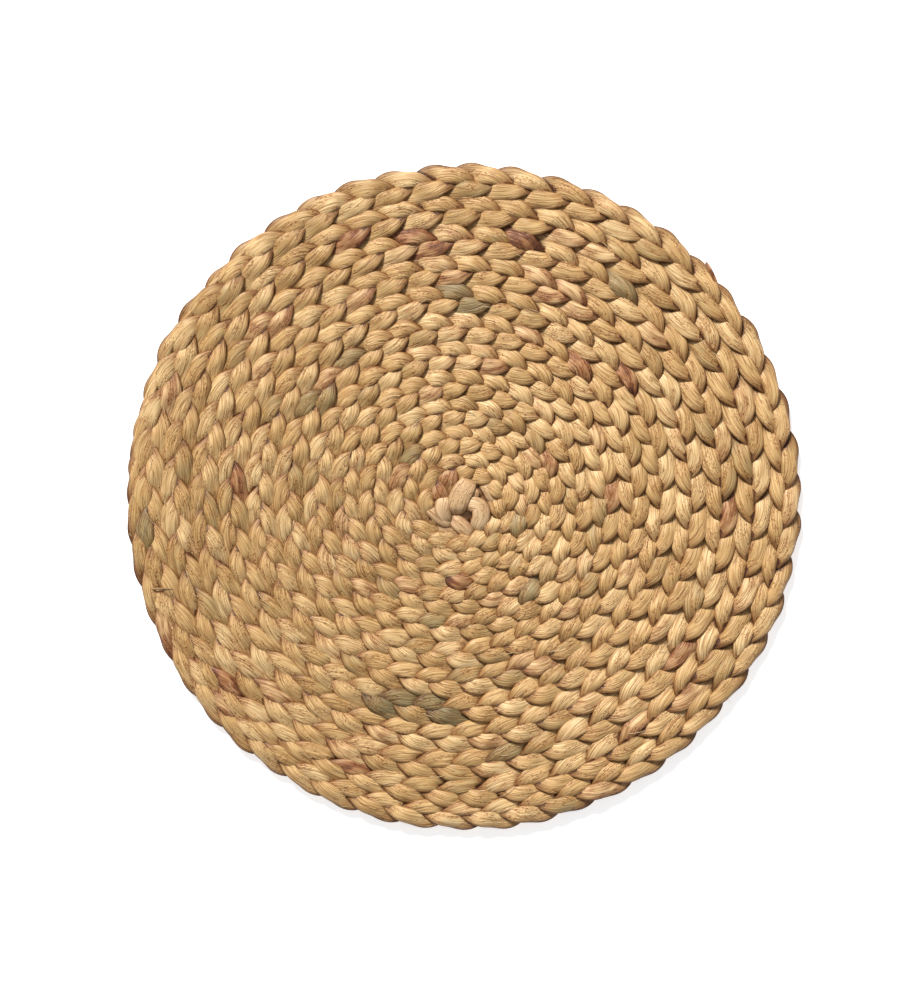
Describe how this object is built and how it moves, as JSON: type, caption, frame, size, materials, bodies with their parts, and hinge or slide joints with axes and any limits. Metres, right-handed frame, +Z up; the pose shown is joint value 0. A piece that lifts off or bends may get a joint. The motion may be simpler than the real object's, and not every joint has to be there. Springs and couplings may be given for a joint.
{
  "type": "round plaited straw placemat",
  "caption": "Flat round placemat made of one three-strand straw plait wound in a spiral and sewn edge to edge, with a scalloped rim.",
  "frame": {"origin": "on the surface that the mat lies on, under the middle of its outline", "axes": "+Z up out of the mat's top face, +X to the right and +Y away from the diner; the plait's tail ends near +Y on the left"},
  "size_m": [0.383, 0.3782, 0.0095],
  "materials": {
    "straw_plait": "dry, matt to satin plant stalk with lengthwise grain"
  },
  "bodies": {
    "root": {"plaited_coil": "straw_plait"}
  },
  "joints": []
}
